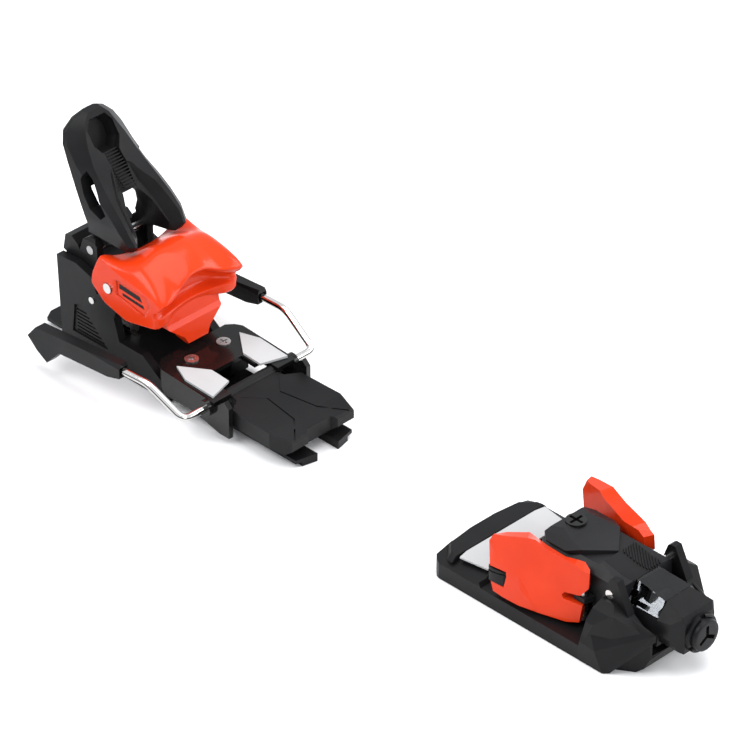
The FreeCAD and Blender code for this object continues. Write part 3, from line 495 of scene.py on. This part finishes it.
def build_base_bodies():
    for name, side in SIDES:
        build_hull(f"base_front_{name}", [(x, side * y, z) for x, y, z in FRONT_BODY], "base",
                   0.8)
    build_hull("base_rear_deck", mirrored(REAR_DECK), "base", 0.8)


def build_toe_plate():
    """White low-friction plate under the boot toe."""
    vertices, faces = prism(mirrored([(-43.5, 34.5), (-64.5, 37.6), (-66, 30)]), 2, 16.6, 18.1)
    plate = new_object("toe_plate", vertices, faces, "white_plastic", "slide_plate",
                       ["slide_plate"])
    return soften(plate, 0.3, 3, 20)


def housing_top_z(x):
    """Height of the plate on top of the toe housing, along the slope and the level part."""
    slope = 0.2172
    return HOUSING_LEVEL_Z + max(0, HOUSING_BEND_X - x) * slope


def build_housing_top():
    """Thin plate on top of the toe housing, under the ribs."""
    profile = [(31.7, 50.0), (31.7, 51.95), (HOUSING_BEND_X, HOUSING_LEVEL_Z),
               (54.9, HOUSING_LEVEL_Z), (54.9, 47.4), (44, 47.4)]
    vertices, faces = prism(profile, 1, -12.6, 14.2)
    soften(new_object("housing_top", vertices, faces, "black_plastic", "toe_unit"), 0.15, 2, 20)


def build_housing_ribs():
    """Slanting ribs on the left half of the plate, cut off at its rear and front ends."""
    left, right, slant, pitch = 13.6, 1.6, 1.18, 2.6
    first_x, rear_x, front_x = 20.4, 32.4, 54.3
    section = [(-0.8, -0.5), (-0.5, 0.9), (0.5, 0.9), (0.8, -0.5)]
    vertices, faces = [], []
    for number in range(13):
        start = first_x + pitch * number
        rear, front = max(start, rear_x), min(start + (left - right) * slant, front_x)
        stations = [rear, front]
        if rear < HOUSING_BEND_X < front:
            stations.insert(1, HOUSING_BEND_X)
        base = len(vertices)
        for x in stations:
            y = left - (x - start) / slant
            vertices += [(x + across, y, housing_top_z(x) + up) for across, up in section]
        last = base + 4 * (len(stations) - 1)
        faces += [(base, base + 1, base + 2, base + 3), (last, last + 1, last + 2, last + 3)]
        for low in range(base, last, 4):
            faces += [(low + k, low + (k + 1) % 4, low + 4 + (k + 1) % 4, low + 4 + k)
                      for k in range(4)]
    new_object("housing_ribs", vertices, faces, "black_plastic", "toe_unit")


def turned(name, profile, centre_z, material, body, replaced=()):
    """A part turned about an axis along X, from points (x, radius)."""
    loops = [[(x, y, z) for y, z in circle((0, centre_z), radius, 64)] for x, radius in profile]
    vertices, faces = loft(loops)
    return new_object(name, vertices, faces, material, body, replaced)


def build_nose():
    """Round end of the adjusting screw, with a three-armed recess."""
    nose = turned("nose_knob", [(86.3, 10.0), (86.6, 10.6), (102.8, 10.6), (103.6, 10.2),
                                (103.9, 9.4)], NOSE_AXIS_Z, "black_plastic", "toe_adjuster",
                  ["toe_adjusting_screw"])
    arms = []
    for angle in (90, 210, 330):
        along = Vector((math.cos(math.radians(angle)), math.sin(math.radians(angle))))
        across = Vector((-along.y, along.x))
        arm = [along * reach + across * half for reach, half in
               ((-1.2, -1.3), (7.2, -1.3), (7.2, 1.3), (-1.2, 1.3))]
        arms.append(prism([(corner.x, NOSE_AXIS_Z + corner.y) for corner in arm], 0,
                          100.4, 108))
    carve(nose, arms)
    soften(nose, 0.35, 2, 30)


def build_nose_collar():
    """Ring around the nose with three notches in its front edge."""
    collar = turned("nose_collar", [(96.2, 12.6), (99.6, 12.9), (100.3, 12.4), (100.4, 11.2)],
                    NOSE_AXIS_Z, "black_plastic", "toe_unit")
    bore = prism(circle((0, NOSE_AXIS_Z), 11.0, 48), 0, 90, 110)
    half = 2
    notches = [prism([(y - half, z - half), (y + half, z - half), (y + half, z + half),
                      (y - half, z + half)], 0, 98.6, 104)
               for y, z in ((0, NOSE_AXIS_Z + 12.6), (-10.9, NOSE_AXIS_Z - 6.3),
                            (10.9, NOSE_AXIS_Z - 6.3))]
    carve(collar, [bore] + notches)
    soften(collar, 0.3, 2, 30)


# ---------------------------------------------------------------- heel cup

# Cross-sections of the cup from its middle to its side: y, then (x, z) round the section.
CUP_SECTIONS = [
    (0.0, [(-391, 65), (-390, 74), (-384, 80.5), (-377, 84.5), (-368, 90.5), (-358, 93.7),
           (-346.5, 91), (-338.5, 87.2), (-334.9, 84), (-338, 80.6), (-346, 78), (-347.5, 66),
           (-339.5, 62), (-341, 58), (-364, 57), (-382, 58)]),
    (9.0, [(-391, 65), (-390, 74), (-384, 81), (-377, 85.8), (-368, 91.8), (-358, 94.2),
           (-346.5, 91), (-338, 86.6), (-334, 82.8), (-337.2, 79.2), (-346, 77), (-347.5, 65.5),
           (-339.3, 61.6), (-341, 57.6), (-364, 56.6), (-382, 57.6)]),
    (17.0, [(-392, 65), (-391, 74), (-385, 82), (-378, 84.8), (-369, 89.4), (-358, 92.6),
            (-347, 88.5), (-336.8, 82.2), (-332.6, 78), (-336, 74.2), (-345.5, 72.4),
            (-347, 64.6), (-338, 61.2), (-339.6, 56), (-364, 53), (-382, 57)]),
    (24.0, [(-393, 64.5), (-392.5, 73), (-386, 83.5), (-378.5, 84), (-370, 87), (-358.5, 91.4),
            (-345.6, 88), (-334.6, 81.6), (-329.6, 76), (-333.4, 71), (-342.6, 69),
            (-344.4, 63.8), (-336.2, 61.4), (-336.6, 54.4), (-363.5, 49.4), (-382.5, 54.6)]),
    (30.0, [(-394.5, 64), (-394, 72.8), (-387, 86.6), (-378.5, 86.2), (-370, 87.2),
            (-358.5, 89.4), (-344.6, 86.4), (-333.6, 80.4), (-328.6, 75), (-332, 69.8),
            (-337.6, 67.4), (-338.2, 63.8), (-335, 61.4), (-335.6, 54), (-363, 47.8),
            (-383, 53.6)]),
    (34.5, [(-395.3, 63.9), (-395, 72.4), (-387.4, 88), (-378, 86.6), (-368, 85.4),
            (-357, 84.8), (-344.6, 82.8), (-333.6, 79), (-328.8, 74.4), (-332, 69.2),
            (-336.4, 67), (-336.8, 63.6), (-335, 61.6), (-336, 54.2), (-363, 48.2),
            (-383.4, 53.8)]),
    (36.5, [(-394.6, 64.4), (-394.3, 72), (-387, 86.8), (-377.4, 84.4), (-367, 81.6),
            (-356, 80.4), (-344.6, 78.8), (-334.8, 76.6), (-330.4, 73), (-333, 69), (-337.2, 67.2),
            (-337.8, 63.8), (-337, 61.8), (-337.6, 55.4), (-362.6, 49.8), (-382.8, 55)]),
]
# Corners of the sections that stay crisp from the middle to the side, and how crisp.
CUP_RIDGES = {0: 0.4, 2: 0.6, 5: 0.25, 8: 0.4, 12: 0.7, 13: 0.7, 14: 0.5, 15: 0.5}
# How crisp the outlines of the two sides are.
CUP_SIDE_CREASE = 0.75


def build_cup():
    """Rounded shell from the sections, hollow below, with a sunken panel on each side."""
    halves = [[(x, y, z) for x, z in points] for y, points in CUP_SECTIONS]
    loops = [[(x, -y, z) for x, y, z in loop] for loop in reversed(halves[1:])] + halves
    vertices, faces = loft(loops)
    cup = new_object("cup_shell", vertices, faces, "orange_plastic", "heel_cup", ["heel_cup"])
    crease(cup, len(loops[0]), {1: CUP_SIDE_CREASE, len(loops): CUP_SIDE_CREASE}, CUP_RIDGES)
    smooth(cup)
    skin = cup.modifiers.new("skin", "SUBSURF")
    skin.levels = skin.render_levels = 3
    bake(cup)
    cavity = prism([(-402, 40), (-402, 70), (-393, 77), (-380, 79), (-358, 79.5), (-352, 74),
                    (-352, 40)], 1, -31.6, 31.6)
    panel = [(-371, 77), (-343, 76), (-340.5, 70), (-345, 61), (-371, 66)]
    carve(cup, [cavity, prism(panel, 1, 35.6, 40), prism(panel, 1, -40, -35.6),
                prism(circle(CUP_AXIS, 3.6, 24), 1, -40, 40)])
    smooth(cup)
    cup.modifiers.new("shade", "WEIGHTED_NORMAL").keep_sharp = True


def build_cup_stripes():
    """Two plain dark bars in the sunken panel on each side of the cup."""
    stripes = ([(-369, 71.5), (-369, 75), (-350, 73.5), (-348, 70)],
               [(-366, 67.3), (-366, 69.3), (-347, 68), (-346, 65.8)])
    for name, side in SIDES:
        for number, stripe in enumerate(stripes):
            vertices, faces = prism(stripe, 1, *band(side, 35.2, 35.75))
            new_object(f"cup_stripe_{name}_{number}", vertices, faces, "black_plastic",
                       "heel_cup")


# ---------------------------------------------------------------- opening lever

# Level by level: height, rear x, front x, half-width, half-width and depth of the front chamfer.
LEVER_LEVELS = [
    (71.8, -412.6, -404.0, 18.6, 17.0, 1.5), (80.0, -414.0, -401.6, 18.8, 17.0, 1.5),
    (87.4, -412.4, -389.4, 19.0, 18.0, 1.5), (91.0, -411.2, -371.0, 24.4, 21.2, 3.0),
    (96.0, -409.8, -367.6, 25.4, 21.8, 3.5), (104.0, -411.8, -373.0, 26.8, 23.0, 4.5),
    (112.0, -416.2, -380.8, 26.4, 22.4, 5.5), (120.0, -420.6, -390.6, 25.8, 21.4, 7.0),
    (128.0, -424.8, -400.4, 25.2, 20.0, 8.5), (136.0, -429.0, -409.0, 24.6, 18.4, 10.0),
    (146.0, -434.4, -417.0, 23.4, 15.8, 11.0), (153.0, -437.4, -422.0, 20.2, 13.0, 10.5),
    (159.4, -436.6, -425.2, 13.4, 10.0, 8.0), (163.6, -433.8, -427.4, 6.4, 5.8, 4.0),
]
# Valley between the two legs: height, x at the rails, x of its floor, half-widths of its floor
# and of its mouth.
LEVER_VALLEY = [
    (56.0, -350.0, -374.0, 14.0, 22.0), (97.0, -366.0, -375.0, 14.0, 22.0),
    (110.0, -376.5, -388.0, 13.0, 21.0), (120.0, -390.0, -398.5, 9.5, 17.5),
    (131.0, -402.5, -405.0, 7.0, 11.0), (134.5, -404.5, -405.5, 5.0, 7.0),
]


def lever_loops():
    loops = []
    for z, rear, front, half, half_front, depth in LEVER_LEVELS:
        side = [(rear, half - 2), (rear + 1.8, half), (front - depth, half), (front, half_front)]
        loops.append([(x, y, z) for x, y in mirrored(side)])
    return loops


def lever_valley():
    loops = []
    for z, mouth, floor, inner, outer in LEVER_VALLEY:
        side = [(mouth + 25, outer), (mouth, outer), (floor, inner)]
        loops.append([(x, y, z) for x, y in mirrored(side)])
    return loft(loops)


def lever_socket():
    """Pole socket, cut square to the leaning front face."""
    face_x, face_z, lean = -416, 136, 10 / 24
    out_x, out_z = 0.923, 0.385

    def rim(points, out):
        return [(face_x - (z - face_z) * lean + out_x * out, y, z + out_z * out)
                for y, z in points]

    mouth = [(-6, 137), (-10.8, 144), (-10.8, 154), (-6.5, 159.5), (6.5, 159.5), (10.8, 154),
             (10.8, 144), (6, 137)]
    floor = [(-5, 139.5), (-8, 144.5), (-8, 152.5), (-4, 157), (4, 157), (8, 152.5),
             (8, 144.5), (5, 139.5)]
    return loft([rim(mouth, 8), rim(mouth, -0.5), rim(floor, -7)])


def build_lever():
    """Lever with a gap between its legs, a hollow back and an opening through each leg."""
    vertices, faces = loft(lever_loops())
    lever = new_object("lever_body", vertices, faces, "black_plastic", "heel_lever",
                       ["heel_lever"])
    gap = [(-14, 60), (-14, 95), (-11, 109), (-6, 117.5), (6, 117.5), (11, 109), (14, 95),
           (14, 60)]
    hollow = [(-450, 60), (-399, 60), (-396, 88), (-402, 106), (-410, 119), (-418, 127),
              (-450, 131)]
    window = [(-412, 134), (-406.5, 130), (-399, 122), (-390.5, 111.5), (-395, 107),
              (-405, 110.5), (-411.5, 119), (-414.5, 128)]
    neck = [(-409, 143), (-396, 134), (-385, 122), (-393.5, 115), (-405, 125.4), (-416.4, 138)]
    carve(lever, [prism(gap, 0, -460, -340), lever_valley(), prism(hollow, 1, -18.2, 18.2),
                  prism(window, 1, 12, 30), prism(window, 1, -30, -12), lever_socket(),
                  prism(neck, 1, -6.2, 6.2), prism(circle(LEVER_AXIS, 3.1, 24), 1, -30, 30)])
    soften(lever, 0.7, 3, 20)


def build_lever_ribs():
    """Fine ribs that run down from the socket."""
    top_x, top_z, step_x, step_z = -415.2, 138.4, 1.62, -1.3932
    for number in range(13):
        x, z = top_x + step_x * number, top_z + step_z * number
        rib = [(x, z), (x + 0.9, z + 0.9), (x + 1.5, z + 0.4), (x + 0.6, z - 0.5)]
        vertices, faces = prism(rib, 1, -5.6, 5.6)
        new_object(f"lever_rib_{number:02d}", vertices, faces, "black_plastic", "heel_lever")


def build_brake_wire():
    """One wire: from the right arm forwards, across and back to the left arm."""
    right_leg = [(-398, -61, 27.5), (-346, -61, 34), (-317.3, -60.5, 35.2), (-288.3, -57, 19.5)]
    tube("brake_rod", mirrored(right_leg), 2.6, 6.0, "bright_steel", "brake", ["brake_wire"])


# ---------------------------------------------------------------- stage

def area_light(name, position, target, size, power):
    """Rectangular light aimed at a target; metres and watts."""
    data = bpy.data.lights.new(name, "AREA")
    data.shape = "RECTANGLE"
    data.size, data.size_y = size
    data.energy = power
    light = bpy.data.objects.new(name, data)
    bpy.context.scene.collection.objects.link(light)
    light.location = position
    light.rotation_euler = (Vector(target) - Vector(position)).to_track_quat("-Z", "Y").to_euler()


def build_floor():
    """Pale floor just below the binding; metres."""
    half, gap = 6, 0.0002
    mesh = bpy.data.meshes.new("floor")
    mesh.from_pydata([(-half, -half, 0), (half, -half, 0), (half, half, 0), (-half, half, 0)],
                     [], [(0, 1, 2, 3)])
    floor = bpy.data.objects.new("floor", mesh)
    bpy.context.scene.collection.objects.link(floor)
    floor.location.z = CAD_BOX[0][2] - gap
    material, tree, shader = new_material("paper")
    tint(tree, noise(tree, 3), (0.86, 0.86, 0.87), (0.90, 0.90, 0.90),
         shader.inputs["Base Color"])
    shader.inputs["Roughness"].default_value = 0.7
    mesh.materials.append(material)


def build_lights():
    middle = (-0.19, 0, 0.05)
    area_light("key", (-0.9, -1.1, 1.5), middle, (1.1, 0.9), 20)
    area_light("top", (-0.1, 0.3, 1.7), middle, (1.8, 1.2), 24)
    area_light("rim", (0.6, 1.5, 0.9), middle, (1.6, 0.7), 18)
    area_light("front", (1.5, -0.5, 0.7), middle, (0.8, 0.8), 9)
    bpy.context.scene.view_settings.view_transform = "Standard"
    world = bpy.data.worlds.new("studio")
    bpy.context.scene.world = world
    world.use_nodes = True
    background = world.node_tree.nodes["Background"]
    background.inputs["Color"].default_value = (0.95, 0.97, 1, 1)
    background.inputs["Strength"].default_value = 0.85


def build_camera():
    """Long lens from the front right and above; metres."""
    data = bpy.data.cameras.new("camera")
    data.sensor_width = 36
    data.lens = 264
    data.clip_end = 20
    camera = bpy.data.objects.new("camera", data)
    bpy.context.scene.collection.objects.link(camera)
    right = Vector((0.70624, 0.70797, 0)).normalized()
    back = Vector((0.58728, -0.58585, 0.55847)).normalized()
    up = back.cross(right)
    place = (1.81733, -1.98747, 1.97521)
    turn = Matrix((right, up, back)).transposed().to_4x4()
    camera.matrix_world = Matrix.Translation(place) @ turn
    bpy.context.scene.camera = camera


dress_nodes()
for name, side in SIDES:
    build_wing(name, side)
    build_wing_pad(name, side)
build_base_bodies()
build_toe_plate()
build_housing_top()
build_housing_ribs()
build_nose()
build_nose_collar()
build_cup()
build_cup_stripes()
build_lever()
build_lever_ribs()
build_brake_wire()
build_floor()
build_lights()
build_camera()
